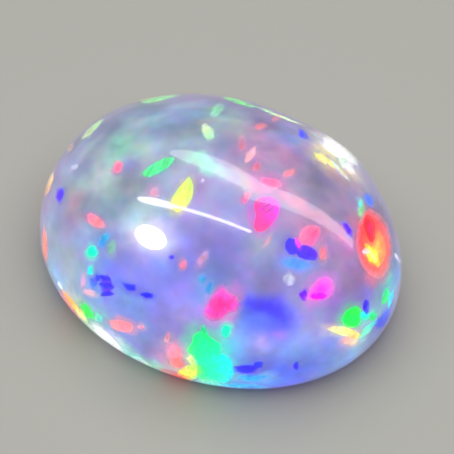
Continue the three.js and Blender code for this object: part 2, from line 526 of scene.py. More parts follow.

# The tone of the body, from wide to small, with painted glare round the round highlight and painted light
# along the pale band
BODY_CLOUDS = (
    Cloud("teal_haze", 0.88, (2.4, 1.6), seen_at=(125, 160), turn=40, glow=1.2, shade=0.9),
    Cloud("grey_mauve", 0.8, (2.6, 1.6), seen_at=(275, 165), turn=-30, shade=0.62),
    Cloud("grey_mauve", 0.75, (1.7, 1.2), seen_at=(335, 205), turn=-50, glow=0.72, shade=0.32),
    Cloud("mauve", 0.7, (1.0, 0.7), seen_at=(340, 275), turn=80, glow=0.62, shade=0.38),
    Cloud("lavender", 0.7, (1.2, 0.8), seen_at=(245, 262), turn=-25, glow=0.7, shade=0.36),
    Cloud("teal_haze", 0.75, (0.9, 0.6), seen_at=(228, 124), turn=-10, shade=0.7),
    Cloud("teal_haze", 0.5, (0.8, 0.4), seen_at=(190, 124), turn=15, glow=1.3),
    Cloud("teal_haze", 0.5, (0.8, 0.6), seen_at=(107, 196), turn=60, glow=1.6),
    Cloud("teal_haze", 0.5, (0.8, 0.5), seen_at=(75, 202), turn=70, glow=1.2),
    Cloud("light_blue", 0.85, (2.0, 1.5), seen_at=(100, 285), turn=-50),
    Cloud("teal_haze", 0.5, (0.9, 0.6), seen_at=(70, 265), turn=90, shade=0.7),
    Cloud("violet_haze", 0.7, (1.9, 1.1), seen_at=(165, 290), turn=-30, shade=0.74),
    Cloud("violet_haze", 0.55, (1.3, 0.9), seen_at=(200, 245), turn=-20),
    Cloud("light_blue", 0.8, (1.7, 0.9), seen_at=(310, 350), turn=25, shade=0.74),
    Cloud("azure", 0.7, (2.2, 0.7), seen_at=(240, 365), turn=-3),
    Cloud("light_blue", 0.5, (0.9, 0.4), seen_at=(180, 118), turn=25),
    Cloud("mint_haze", 0.7, (0.45, 0.35), seen_at=(119, 145), turn=90),
    Cloud("mint_haze", 0.3, (0.8, 0.35), seen_at=(140, 112), turn=30),
    Cloud("violet_haze", 0.5, (0.3, 0.25), seen_at=(131, 165)),
    Cloud("rose_haze", 0.45, (0.45, 0.22), seen_at=(74, 206), turn=85),
    # Painted glare round the round highlight: a white cloud over it, and a mint one to its upper left that is
    # partly the stone's own green
    Cloud("mint_haze", 0.55, (0.8, 0.5), seen_at=(135, 215)),
    Cloud("pearl", 0.5, (0.7, 0.55), seen_at=(147, 233), turn=-20, glow=1.4),
    Cloud("rose_haze", 0.5, (0.5, 0.45), seen_at=(253, 140), turn=30),
    Cloud("rose_haze", 0.5, (0.4, 0.28), seen_at=(257, 168), turn=60, glow=1.2),
    Cloud("mauve", 0.6, (0.8, 0.45), seen_at=(289, 154)),
    Cloud("light_blue", 0.6, (0.45, 0.25), seen_at=(292, 140), turn=-30),
    Cloud("mauve", 0.6, (0.7, 0.35), seen_at=(293, 222), turn=-20, shade=0.6),
    Cloud("rose_haze", 0.35, (0.3, 0.5), seen_at=(350, 250)),
    Cloud("teal_haze", 0.6, (0.5, 0.4), seen_at=(262, 250)),
    Cloud("aqua", 0.6, (0.45, 0.3), seen_at=(205, 285), turn=70),
    Cloud("lilac", 0.45, (0.6, 0.4), seen_at=(185, 318)),
    Cloud("violet_haze", 0.7, (0.4, 0.3), seen_at=(116, 269)),
    Cloud("light_blue", 0.6, (0.5, 0.3), seen_at=(130, 305), glow=1.8),
    Cloud("sky", 0.35, (0.6, 0.4), seen_at=(312, 347), turn=20),
    Cloud("lavender", 0.6, (0.6, 0.4), seen_at=(315, 330), turn=20),
    # Painted light along the reflected pale band: firm-edged clouds whose glow tints it mint at its left and
    # rose to its right
    Cloud("mint_haze", 0.85, (0.62, 0.21), seen_at=(204, 163), turn=-27, edge=4, glow=1.7),
    Cloud("pearl", 0.4, (0.5, 0.21), seen_at=(237, 179), turn=-26, edge=4, glow=1.2),
    Cloud("rose_haze", 0.8, (0.6, 0.28), seen_at=(266, 186), turn=-22, edge=3, glow=1.7),
    Cloud("rose_haze", 0.6, (0.75, 0.2), seen_at=(303, 208), turn=-36, edge=4, glow=1.5),
    Cloud("rose_haze", 0.6, (0.6, 0.18), seen_at=(338, 232), turn=-42, edge=4, glow=1.3),
)

# Soft fields of flash colour, brighter and with firmer edges, among them painted highlights
BRIGHT_CLOUDS = (
    Cloud("azure", 0.92, (0.85, 0.62), seen_at=(265, 319), turn=-15, edge=4, glow=1.2),
    Cloud("sky", 0.5, (0.3, 0.5), seen_at=(242, 322), glow=0.9, shade=0.6),
    Cloud("blue", 0.55, (0.28, 0.42), seen_at=(286, 325), glow=1.3),
    Cloud("blue", 0.8, (0.46, 0.22), seen_at=(258, 305), turn=12, edge=3, glow=1.9),
    Cloud("blue", 0.8, (0.44, 0.26), seen_at=(277, 311), turn=-24, edge=3, glow=1.9),
    Cloud("orchid", 0.4, (0.16, 0.13), seen_at=(281, 334), glow=1.1),
    Cloud("lilac", 0.6, (0.24, 0.22), seen_at=(259, 345)),
    Cloud("azure", 0.8, (1.0, 0.3), seen_at=(290, 374), turn=12, edge=3, glow=1.4),
    Cloud("blue", 0.75, (0.5, 0.22), seen_at=(250, 367), turn=8, edge=3, glow=1.5),
    Cloud("aqua", 0.7, (0.4, 0.45), seen_at=(233, 350), glow=1.5),
    Cloud("emerald", 0.7, (0.42, 0.45), seen_at=(203, 347), edge=3, glow=1.8),
    Cloud("turquoise", 0.8, (0.45, 0.35), seen_at=(219, 352), turn=70, edge=3, glow=1.8),
    Cloud("turquoise", 0.9, (0.6, 0.26), seen_at=(213, 374), turn=-8, edge=3, glow=2.0),
    Cloud("cyan", 0.9, (0.4, 0.3), seen_at=(225, 368), edge=3, glow=2.0),
    Cloud("sky", 0.8, (0.9, 0.18), seen_at=(250, 380), turn=-2, edge=3, glow=1.7),
    Cloud("rose_haze", 0.8, (0.45, 0.38), seen_at=(172, 354), glow=1.7),
    Cloud("cream_haze", 0.8, (0.42, 0.26), seen_at=(186, 369), turn=-10, glow=2.0),
    Cloud("emerald", 0.7, (0.34, 0.32), seen_at=(352, 316), edge=3, glow=1.8),
    Cloud("turquoise", 0.8, (0.34, 0.3), seen_at=(368, 318), turn=50, glow=1.8),
    Cloud("cream_haze", 0.8, (0.48, 0.16), seen_at=(345, 331), turn=-8, glow=1.8),
    Cloud("rose_haze", 0.7, (0.26, 0.2), seen_at=(349, 343), turn=40, glow=1.6),
    Cloud("mint_haze", 0.8, (0.5, 0.16), seen_at=(365, 334), turn=48, glow=1.8),
    Cloud("azure", 0.7, (0.5, 0.14), seen_at=(383, 322), turn=62, glow=1.5),
    Cloud("turquoise", 0.8, (0.55, 0.24), seen_at=(387, 290), turn=80, glow=1.4),
    Cloud("turquoise", 0.5, (0.3, 0.24), seen_at=(387, 282), glow=1.2),
    Cloud("sky", 0.8, (0.45, 0.15), seen_at=(397, 274), turn=85, glow=1.3),
    Cloud("violet_haze", 0.7, (0.28, 0.18), seen_at=(366, 296), turn=90, glow=1.6),
    Cloud("orchid", 0.6, (0.3, 0.25), seen_at=(329, 297), glow=1.2),
    Cloud("sky", 0.85, (0.42, 0.24), seen_at=(296, 262), turn=-12, edge=3, glow=1.8),
    Cloud("violet", 0.55, (0.26, 0.34), seen_at=(287, 247), glow=1.2),
    Cloud("rose_haze", 0.7, (0.3, 0.36), seen_at=(311, 235), glow=1.5),
    Cloud("rose_haze", 0.7, (0.25, 0.18), seen_at=(373, 280), glow=1.3),
    Cloud("rose_haze", 0.75, (0.2, 0.24), seen_at=(357, 224), glow=1.5),
    Cloud("mint_haze", 0.75, (0.26, 0.15), seen_at=(362, 210), turn=80, glow=1.4),
    # Painted highlight: the bright patch by the upper right rim, white with cream round it
    Cloud("pearl", 0.95, (0.62, 0.27), seen_at=(339, 149), turn=-42, edge=3, glow=3.0),
    Cloud("cream_haze", 0.6, (0.75, 0.42), seen_at=(334, 158), turn=-42, glow=1.6),
    Cloud("cream_haze", 0.8, (0.4, 0.2), seen_at=(347, 165), turn=-52, glow=2.0),
    Cloud("cream_haze", 0.8, (0.36, 0.2), seen_at=(325, 160), turn=-50, glow=1.8),
    Cloud("cream_haze", 0.7, (0.8, 0.18), seen_at=(78, 306), turn=-52, glow=1.8),
    Cloud("lime", 0.7, (0.5, 0.24), seen_at=(85, 316), turn=-52, glow=1.7),
    Cloud("mint_haze", 0.7, (0.34, 0.22), seen_at=(97, 316), turn=-48, glow=1.6),
    # Painted highlight: the white streak along the lower left rim
    Cloud("pearl", 0.85, (0.75, 0.18), seen_at=(107, 339), turn=-44, edge=3, glow=2.4),
    Cloud("sky", 0.7, (0.32, 0.22), seen_at=(96, 283), turn=80, glow=1.4),
    Cloud("blue", 0.5, (0.6, 0.18), seen_at=(132, 289), turn=-16, edge=3, glow=1.2),
    # Partly painted highlight: the bright mint line along the lower rim
    Cloud("mint_haze", 0.8, (1.0, 0.16), seen_at=(141, 359), turn=-30, edge=3, glow=1.9),
    Cloud("aqua", 0.6, (0.7, 0.22), seen_at=(60, 285), turn=-60, glow=1.4),
    Cloud("aqua", 0.55, (0.8, 0.3), seen_at=(345, 360), turn=35, glow=0.9),
)

# Fineness of the meshes
STEPS_AROUND = 400
STEPS_LOWER_EDGE = 20
STEPS_DOME = 140
BASE_RINGS = (0.25, 0.5, 0.7, 0.85, 0.95)
OUTLINE_POINTS = 48
FLASH_RINGS = (0.3, 0.55, 0.75, 0.9, 1.0)

# Outlines of the flashes: shares of their radius, and waves as a fineness and a weight
SPREAD = 1.15
CORNER_SPREAD = 1.06
PATCH_CORNERS = (6, 9)
PATCH_TURN = 0.28
RADIUS_SPREAD = (0.7, 1.15)
STREAK_STATIONS = (-1.0, -0.6, -0.15, 0.3, 0.7, 1.0)
STREAK_TAPER = 0.7
OVAL_CORNERS = 12
CURVE_STRAIGHTNESS = 0.5
OUTLINE_WAVES = ((9, 1.0), (24, 0.6))
OUTLINE_UNEVENNESS = 0.12
STEADY_UNEVENNESS = 0.04
OUTLINE_SEED = 7

# Make of the flashes
CORE_REACH = 0.75
SOFTNESS = 0.4
SOFT_DEPTH = 0.6
RIM_ROUNDING = 0.98
FLASH_ROUGHNESS = 0.4
FLASH_SPECULAR = 0.1
FLASH_DARKNESS = (0.2, 0.2, 0.2, 1)
HUE_MOTTLE = 0.012
FRAY = 0.08
GRAIN_LIGHT = (0.62, 1.2)
GRAIN_STRETCH = (1, 0.25, 0.6)

# From the photograph into the stone
RIM_STEP = 0.01
RIM_STEPS = 40
LEAST_COSINE = 0.3
SKIN = 0.01 * MM
DEEPEST_SHARE = 0.6
NEARLY_LEVEL = 0.1

# Colour of the body: sizes of waves and their reach, and sizes of mottles and their strength
CLOUD_DEPTH = 1.8 * MM
WAVERS = ((0.45 * MM, 0.11 * MM), (0.14 * MM, 0.05 * MM))
MOTTLES = ((0.9 * MM, 0.16), (0.33 * MM, 0.14))
NOISE_SEED = 5
WISP_LIGHT = (0.45, 1.4)
BLUSHES = ((0.78, 1.0, 1.1, 1), (1.3, 0.92, 1.0, 1))
SHIMMER = 0.45
BLUR_SPREAD = (0.96, 1.2)
ABSORPTION_COLOUR = (0.78, 0.74, 0.98, 1)
ABSORPTION_DENSITY = 100
GREY = (0.5, 0.5, 0.5, 1)
WHITE = (1, 1, 1, 1)

# Soft light round the flashes
HALO_DEPTH = 1.0 * MM
HALO_REACH = 1.08
HALO_DEEP_REACH = 0.35
HALO_EDGE = 8
HALO_DEEP_EDGE = 3
HALO_CLEARNESS = 0.3

# Flashes on the sides that the photograph hides: ranges of their length and width in millimetres,
# and every so many a large one
HIDDEN_SEED = 11
HIDDEN_HEIGHTS = (0.08, 0.9)
HIDDEN_FACING = 0.1
HIDDEN_SIZES = ((0.25, 0.65), (0.14, 0.34))
LARGE_HIDDEN_SIZES = ((0.8, 1.2), (0.45, 0.65))
LARGE_HIDDEN_STEP = 6
LARGE_GLOW_REACH = 1.9
HIDDEN_DEPTHS = (0.2, 0.7)
HIDDEN_GLOWS = (0.75, 1.05)
HIDDEN_HUES = {
    "rose_flashes": (("rose", "hot_pink"), ("salmon", "coral"), ("hot_pink", "magenta"), ("red", "orange")),
    "gold_flashes": (("gold", "lime"), ("orange", "gold"), ("cream", "gold")),
    "green_flashes": (("emerald", "mint"), ("turquoise", "emerald"), ("cyan", "turquoise")),
    "blue_flashes": (("violet_blue", "blue"), ("azure", "sky"), ("violet", "azure")),
    "pale_flashes_and_painted_highlights": (("lilac", "white"), ("pale_pink", "rose")),
}
HIDDEN_FAMILIES = (
    "rose_flashes", "green_flashes", "blue_flashes", "green_flashes",
    "gold_flashes", "rose_flashes", "blue_flashes", "pale_flashes_and_painted_highlights",
)

# Studio: lamps on a ceiling above the stone, whose reflections are the round highlight, the thin bright lines
# and the pale band; the stone's other highlights are painted
FLOOR_HALF_SIDE = 1.5
FLOOR_ROUGHNESS = 0.5
WORLD_COLOUR = (0.96, 0.98, 1.0, 1)
CLIP_START = 0.005
CLIP_END = 10
LAMP_HEIGHT = 0.6
LAMPS = (
    {"name": "key", "ceiling": ((-0.70, -0.795),), "width": 0.245, "radiance": 24},
    {"name": "tube_end", "ceiling": ((-0.92, -0.205), (-0.42, -0.165)), "width": 0.062, "radiance": 16},
    {"name": "thin_tube", "ceiling": ((-0.70, -0.190), (0.19, -0.09)), "width": 0.024, "radiance": 14},
    {"name": "soft_panel_left", "ceiling": ((-0.86, 0.70), (0.22, 0.44)), "width": 0.16, "radiance": 3.2},
    {"name": "soft_panel_right", "ceiling": ((-0.06, 0.39), (2.2, 1.62)), "width": 0.165, "radiance": 3.4},
    {"name": "softbox", "ceiling": ((-0.9, 0.1), (0.9, 0.1)), "width": 1.0, "radiance": 3.4},
)
ROUND_ENDED_LAMPS = ("tube_end", "soft_panel_left")


def unevenness(angle, height):
    """How much wider the stone is than a true oval, at an angle and a height."""
    factor = 1 - CORNER_FULLNESS * np.cos(4 * angle)
    for shoulder in SHOULDERS:
        centre = math.radians(shoulder["angle"])
        turn = np.arctan2(np.sin(angle - centre), np.cos(angle - centre))
        around = turn / math.radians(shoulder["spread_angle"])
        above = (height - shoulder["height"]) / shoulder["spread_height"]
        factor = factor + shoulder["push"] * np.exp(-(around**2) - above**2)
    return factor


def stone_section(settings):
    """Half section of the stone, from the rim of the flat base to just below the top: radii, heights."""
    turn = (math.pi / 2) * (1 - np.arange(STEPS_LOWER_EDGE) / STEPS_LOWER_EDGE)
    edge_radius = 1 - settings.base_inset * (1 - np.cos(turn))
    edge_height = settings.girdle_height * (1 - np.sin(turn))
    share = np.sin((math.pi / 2) * np.arange(STEPS_DOME) / STEPS_DOME)
    dome_radius = np.sqrt(1 - share**settings.dome_fullness)
    dome_height = settings.girdle_height + (settings.height - settings.girdle_height) * share
    base_radius = edge_radius[0] * np.array(BASE_RINGS)
    base_height = np.zeros(len(BASE_RINGS))
    radii = np.concatenate((base_radius, edge_radius, dome_radius))
    heights = np.concatenate((base_height, edge_height, dome_height))
    return radii, heights


def stone_points(settings):
    """Every point of the stone's surface: the middle of the base, the rings, then the top."""
    radii, heights = stone_section(settings)
    angles = np.arange(STEPS_AROUND) * 2 * math.pi / STEPS_AROUND
    points = [(0.0, 0.0, 0.0)]
    for radius, height in zip(radii, heights):
        factor = unevenness(angles, height)
        x = radius * np.cos(angles) * factor * settings.length / 2
        y = radius * np.sin(angles) * factor * settings.width / 2
        points.extend(zip(x, y, np.full(STEPS_AROUND, height)))
    points.append((0.0, 0.0, settings.height))
    return points


def stone_faces(rings):
    """Faces between neighbouring rings, closed by fans at the middle of the base and at the top."""
    faces = []
    top = 1 + rings * STEPS_AROUND
    last = top - STEPS_AROUND
    for step in range(STEPS_AROUND):
        following = (step + 1) % STEPS_AROUND
        faces.append((0, 1 + following, 1 + step))
        faces.append((top, last + step, last + following))
        for ring in range(rings - 1):
            low = 1 + ring * STEPS_AROUND
            high = low + STEPS_AROUND
            faces.append((low + step, low + following, high + following, high + step))
    return faces


def mesh_object(name, points, faces):
    """A smooth-shaded mesh object in the scene."""
    mesh = bpy.data.meshes.new(name)
    mesh.from_pydata([tuple(point) for point in points], [], faces)
    mesh.shade_smooth()
    mesh.update()
    made = bpy.data.objects.new(name, mesh)
    bpy.context.scene.collection.objects.link(made)
    return made


def write_colours(made, name, colours):
    """Stores one colour per point of a mesh, for its material to read."""
    layer = made.data.color_attributes.new(name=name, type="FLOAT_COLOR", domain="POINT")
    layer.data.foreach_set("color", np.asarray(colours, dtype=np.float32).ravel())


def write_uv(made, name, values):
    """Stores two values per point of a mesh as a UV layer, for its material to read."""
    layer = made.data.uv_layers.new(name=name)
    corners = np.empty(len(made.data.loops), dtype=np.int32)
    made.data.loops.foreach_get("vertex_index", corners)
    layer.data.foreach_set("uv", np.asarray(values, dtype=np.float32)[corners].ravel())


def towards_camera(stage):
    """Direction from the stone to the photograph's camera."""
    level = math.cos(stage.camera_elevation)
    return Vector((
        math.sin(stage.camera_azimuth) * level,
        -math.cos(stage.camera_azimuth) * level,
        math.sin(stage.camera_elevation),
    ))


class View:
    """The photograph's view of the stone: from points of the photograph to places in the stone."""

    def __init__(self, stage, stone_mesh, refraction):
        back = towards_camera(stage)
        self.position = CAMERA_TARGET + back * stage.camera_distance
        self.forward = -back
        self.right = self.forward.cross(Vector((0, 0, 1))).normalized()
        self.up = self.right.cross(self.forward)
        self.focal = stage.camera_lens / SENSOR * PHOTO_SIDE
        self.scale = self.focal / stage.camera_distance
        self.refraction = refraction
        points = [vertex.co for vertex in stone_mesh.vertices]
        polygons = [polygon.vertices for polygon in stone_mesh.polygons]
        self.surface = BVHTree.FromPolygons(points, polygons)

    def ray(self, pixel):
        """Direction from the camera through a point of the photograph."""
        across = (pixel[0] - PHOTO_SIDE / 2) / self.focal
        down = (pixel[1] - PHOTO_SIDE / 2) / self.focal
        return (self.forward + self.right * across - self.up * down).normalized()

    def hit(self, pixel):
        """Where the view meets the stone, with the normal and the ray, or None beside the stone."""
        direction = self.ray(pixel)
        place, normal, _, _ = self.surface.ray_cast(self.position, direction)
        if place is None:
            return None
        return place, normal, direction

    def hit_nearest(self, pixel):
        """As hit, for a point of the photograph that is drawn to the stone's middle until it lies on it."""
        for step in range(RIM_STEPS):
            share = step * RIM_STEP
            drawn = [here + (middle - here) * share for here, middle in zip(pixel, STONE_MIDDLE)]
            found = self.hit(drawn)
            if found is not None:
                return found
        raise RuntimeError(f"no part of the stone lies near {pixel}")

    def axes(self):
        """Right, up and away from the camera."""
        return self.right, self.up, self.forward

    def refracted(self, direction, normal):
        """The ray's direction once it has entered the stone."""
        cosine = -direction.dot(normal)
        ratio = 1 / self.refraction
        inner = math.sqrt(1 - ratio * ratio * (1 - cosine * cosine))
        return (direction * ratio + normal * (ratio * cosine - inner)).normalized()

    def inside(self, pixel, depth):
        """The place at a depth under the surface that is seen at a point of the photograph."""
        place, normal, direction = self.hit_nearest(pixel)
        inner = self.refracted(direction, normal)
        way = depth / max(-inner.dot(normal), LEAST_COSINE)
        leaving, _, _, distance = self.surface.ray_cast(place + inner * SKIN, inner)
        if leaving is not None:
            way = min(way, DEEPEST_SHARE * distance)
        return place + inner * way


def turned(x, y, degrees):
    """A point turned about the origin, with y up."""
    angle = math.radians(degrees)
    return (x * math.cos(angle) - y * math.sin(angle), x * math.sin(angle) + y * math.cos(angle))


def curve_value(before, start, end, after, share):
    """A value between two corners, halfway between a smooth curve and a straight line."""
    bend = 2 * before - 5 * start + 4 * end - after
    twist = 3 * (start - end) + after - before
    smooth = start + 0.5 * share * (end - before + share * (bend + share * twist))
    straight = start + (end - start) * share
    return (1 - CURVE_STRAIGHTNESS) * smooth + CURVE_STRAIGHTNESS * straight


def closed_curve(corners, count):
    """Points along a smooth closed curve through some corners."""
    points = []
    total = len(corners)
    for index in range(count):
        position = index * total / count
        first = int(position)
        near = [corners[(first + offset) % total] for offset in (-1, 0, 1, 2)]
        points.append(tuple(curve_value(*values, position - first) for values in zip(*near)))
    return points


def patch_corners(rng):
    """Corners of an irregular patch in a circle of radius 1."""
    count = rng.randint(*PATCH_CORNERS)
    corners = []
    for index in range(count):
        angle = 2 * math.pi * (index + rng.uniform(-PATCH_TURN, PATCH_TURN)) / count
        radius = rng.uniform(*RADIUS_SPREAD)
        corners.append((radius * math.cos(angle), radius * math.sin(angle)))
    return corners


def streak_corners(rng):
    """Corners of a streak that tapers to both ends, in a circle of radius 1."""
    inner = STREAK_STATIONS[1:-1]
    upper = [(x, (1 - x * x) ** STREAK_TAPER * rng.uniform(*RADIUS_SPREAD)) for x in STREAK_STATIONS]
    lower = [(x, -((1 - x * x) ** STREAK_TAPER) * rng.uniform(*RADIUS_SPREAD)) for x in inner]
    return lower + upper[::-1]


def oval_corners():
    """Corners of an oval, on a circle of radius 1."""
    angles = [2 * math.pi * index / OVAL_CORNERS for index in range(OVAL_CORNERS)]
    return [(math.cos(angle), math.sin(angle)) for angle in angles]


def sized_outline(flash, rng):
    """Outline of a flash as offsets in millimetres, right and up in the photograph."""
    if flash.shape == "streak":
        corners = streak_corners(rng)
    elif flash.shape == "oval":
        corners = oval_corners()
    else:
        corners = patch_corners(rng)
    half_long, half_wide = (SPREAD * side / 2 for side in flash.size)
    sized = [turned(x * half_long, y * half_wide, flash.turn) for x, y in corners]
    return closed_curve(sized, OUTLINE_POINTS)


def corner_outline(flash, view):
    """Outline of a flash that is given by its corners, as offsets in millimetres."""
    centre = flash_centre(flash)
    share = (1.0 if flash.firm else CORNER_SPREAD) / (view.scale * MM)
    corners = [((x - centre[0]) * share, (centre[1] - y) * share) for x, y in flash.corners]
    area = sum(a[0] * b[1] - a[1] * b[0] for a, b in zip(corners, corners[1:] + corners[:1]))
    if area < 0:
        corners.reverse()
    return closed_curve(corners, OUTLINE_POINTS)


def flash_centre(flash):
    """Middle of a flash in the photograph."""
    if flash.corners is None:
        return flash.seen_at
    return tuple(sum(values) / len(values) for values in zip(*flash.corners))


def uneven_outline(outline, seed, share):
    """An outline that wavers in and out by about a share of its radius."""
    wavered = []
    for x, y in outline:
        wave = sum(
            weight * noise.noise(Vector((x * fineness, y * fineness, seed)))
            for fineness, weight in OUTLINE_WAVES
        )
        factor = 1 + share * wave
        wavered.append((x * factor, y * factor))
    return wavered


class FlashMesh:
    """Collects flashes of one family as one mesh of closed thin lenses."""

    def __init__(self, thickness):
        self.points = []
        self.faces = []
        self.spectrum = []
        self.shade = []
        self.thickness = thickness

    def add(self, flash, outline, place):
        """Adds a flash; place gives the point in the stone for an offset and a depth."""
        first = len(self.points)
        steady = flash.firm or flash.corners
        outline = uneven_outline(outline, first, STEADY_UNEVENNESS if steady else OUTLINE_UNEVENNESS)
        direction = turned(1, 0, flash.turn)
        reach = max(abs(x * direction[0] + y * direction[1]) for x, y in outline)
        for side in (-0.5, 0.5):
            self.add_point(flash, place(0.0, 0.0, flash.depth * MM + side * self.thickness), 0.0, 0.0)
            for share in FLASH_RINGS:
                bulge = math.sqrt(1 - share * share * RIM_ROUNDING)
                depth = flash.depth * MM + side * bulge * self.thickness
                for x, y in outline:
                    along = (x * direction[0] + y * direction[1]) * share / reach
                    self.add_point(flash, place(x * share, y * share, depth), along, share)
        self.add_faces(first, len(outline))

    def add_point(self, flash, point, along, share):
        """Adds a point. Its hue changes along the flash, from -1 to 1, and from the core outward."""
        hue = blended(FLASH_HUES[flash.hue], FLASH_HUES[flash.far_hue], 0.5 + 0.5 * along)
        if flash.core is not None:
            outward = min(share / CORE_REACH, 1.0)
            outward = outward * outward * (3 - 2 * outward)
            hue = blended(FLASH_HUES[flash.core], hue, outward)
        step, paleness = hue
        softness = SOFTNESS * min(flash.depth / SOFT_DEPTH, 1.0)
        self.points.append(point)
        self.spectrum.append((step / (len(SPECTRUM) - 1), paleness))
        self.shade.append((flash.glow, 0.0 if flash.firm else share + (1 - share) * softness))

    def add_faces(self, first, count):
        """Joins the points of a lens to a closed body whose faces point out."""
        lower_first = first + 1 + len(FLASH_RINGS) * count
        rim = 1 + (len(FLASH_RINGS) - 1) * count
        for step in range(count):
            following = (step + 1) % count
            self.faces.append((first, first + 1 + step, first + 1 + following))
            self.faces.append((lower_first, lower_first + 1 + following, lower_first + 1 + step))
            for ring in range(len(FLASH_RINGS) - 1):
                inner = 1 + ring * count
                outer = inner + count
                quad = (inner + step, outer + step, outer + following, inner + following)
                self.faces.append(tuple(first + corner for corner in quad))
                self.faces.append(tuple(lower_first + corner for corner in reversed(quad)))
            upper_edge = (first + rim + step, first + rim + following)
            lower_edge = (lower_first + rim + step, lower_first + rim + following)
            self.faces.append((upper_edge[0], *lower_edge, upper_edge[1]))


def blended(first, second, share):
    """Values on the way from a first to a second list."""
    return [a + (b - a) * share for a, b in zip(first, second)]


def seen_place(view, centre):
    """Places a flash where the photograph shows it."""

    def place(x, y, depth):
        scale = view.scale * MM
        return view.inside((centre[0] + x * scale, centre[1] - y * scale), depth)

    return place


def surface_axes(normal):
    """Two directions along the surface at a point, square to each other."""
    across = normal.cross(Vector((0, 0, 1)))
    if across.length < NEARLY_LEVEL:
        across = Vector((1, 0, 0))
    across.normalize()
    return across, normal.cross(across).normalized()


def surface_place(view, centre, normal):
    """Places a flash under a point of the surface, along its curve."""
    across, up = surface_axes(normal)

    def place(x, y, depth):
        near = centre + across * x * MM + up * y * MM
        point, outward, _, _ = view.surface.find_nearest(near)
        return point - outward * depth

    return place


class Shading:
    """A material with one Principled shader, and short calls for the nodes that feed it."""

    def __init__(self, name):
        self.material = bpy.data.materials.new(name)
        self.material.use_nodes = True
        self.nodes = self.material.node_tree.nodes
        self.links = self.material.node_tree.links
        self.inputs = self.nodes["Principled BSDF"].inputs

    def feed(self, socket, source):
        """Links a socket to another node's output, or sets it to a plain value."""
        if isinstance(source, bpy.types.NodeSocket):
            self.links.new(source, socket)
        else:
            socket.default_value = source

    def finish(self, sockets):
        """Feeds the shader's own sockets and returns the material."""
        for name, source in sockets.items():
            self.feed(self.inputs[name], source)
        return self.material

    def stored_colour(self, name):
        """Colour and alpha that are stored on the mesh's points."""
        stored = self.nodes.new("ShaderNodeAttribute")
        stored.attribute_name = name
        return stored.outputs["Color"], stored.outputs["Alpha"]

    def stored_pair(self, layer):
        """The two values of a UV layer."""
        uv = self.nodes.new("ShaderNodeUVMap")
        uv.uv_map = layer
        parts = self.nodes.new("ShaderNodeSeparateXYZ")
        self.links.new(uv.outputs["UV"], parts.inputs["Vector"])
        return parts.outputs["X"], parts.outputs["Y"]

    def noise(self, scale, detail, stretch=(1, 1, 1), output="Fac"):
        """Noise in the object's own metres, stretched along its axes."""
        place = self.nodes.new("ShaderNodeTexCoord")
        mapping = self.nodes.new("ShaderNodeMapping")
        mapping.inputs["Scale"].default_value = stretch
        pattern = self.nodes.new("ShaderNodeTexNoise")
        pattern.inputs["Scale"].default_value = scale
        pattern.inputs["Detail"].default_value = detail
        self.links.new(place.outputs["Object"], mapping.inputs["Vector"])
        self.links.new(mapping.outputs["Vector"], pattern.inputs["Vector"])
        return pattern.outputs[output]

    def mapped(self, source, low, high, from_low=0.3, from_high=0.7, smooth=False):
        """Maps a value's usual spread to a range."""
        mapped = self.nodes.new("ShaderNodeMapRange")
        if smooth:
            mapped.interpolation_type = "SMOOTHSTEP"
        mapped.inputs["From Min"].default_value = from_low
        mapped.inputs["From Max"].default_value = from_high
        mapped.inputs["To Min"].default_value = low
        mapped.inputs["To Max"].default_value = high
        self.links.new(source, mapped.inputs["Value"])
        return mapped.outputs["Result"]

    def joined(self, operation, first, second):
        """The sum or the product of two values."""
        sum_or_product = self.nodes.new("ShaderNodeMath")
        sum_or_product.operation = operation
        self.links.new(first, sum_or_product.inputs[0])
        self.links.new(second, sum_or_product.inputs[1])
        return sum_or_product.outputs["Value"]

    def mixed(self, share, first, second, mode="MIX"):
        """Two colours mixed."""
        mix = self.nodes.new("ShaderNodeMix")
        mix.data_type = "RGBA"
        mix.blend_type = mode
        sockets = {socket.identifier: socket for socket in (*mix.inputs, *mix.outputs)}
        self.feed(sockets["Factor_Float"], share)
        self.feed(sockets["A_Color"], first)
        self.feed(sockets["B_Color"], second)
        return sockets["Result_Color"]

    def multiplied(self, first, second):
        """Two colours multiplied."""
        return self.mixed(1.0, first, second, "MULTIPLY")

    def spectrum(self, step, hues):
        """The colour at a step of the spectrum of the flashes, from 0 to 1."""
        ramp = self.nodes.new("ShaderNodeValToRGB")
        stops = ramp.color_ramp.elements
        while len(stops) < len(SPECTRUM):
            stops.new(0.5)
        for index, name in enumerate(SPECTRUM):
            stops[index].position = index / (len(SPECTRUM) - 1)
            stops[index].color = (*getattr(hues, name), 1)
        self.links.new(step, ramp.inputs["Fac"])
        return ramp.outputs["Color"]

    def absorb(self, colour, density):
        """Lets the body take up a little of the light that passes through it."""
        absorption = self.nodes.new("ShaderNodeVolumeAbsorption")
        absorption.inputs["Color"].default_value = colour
        absorption.inputs["Density"].default_value = density
        self.links.new(absorption.outputs["Volume"], self.nodes["Material Output"].inputs["Volume"])


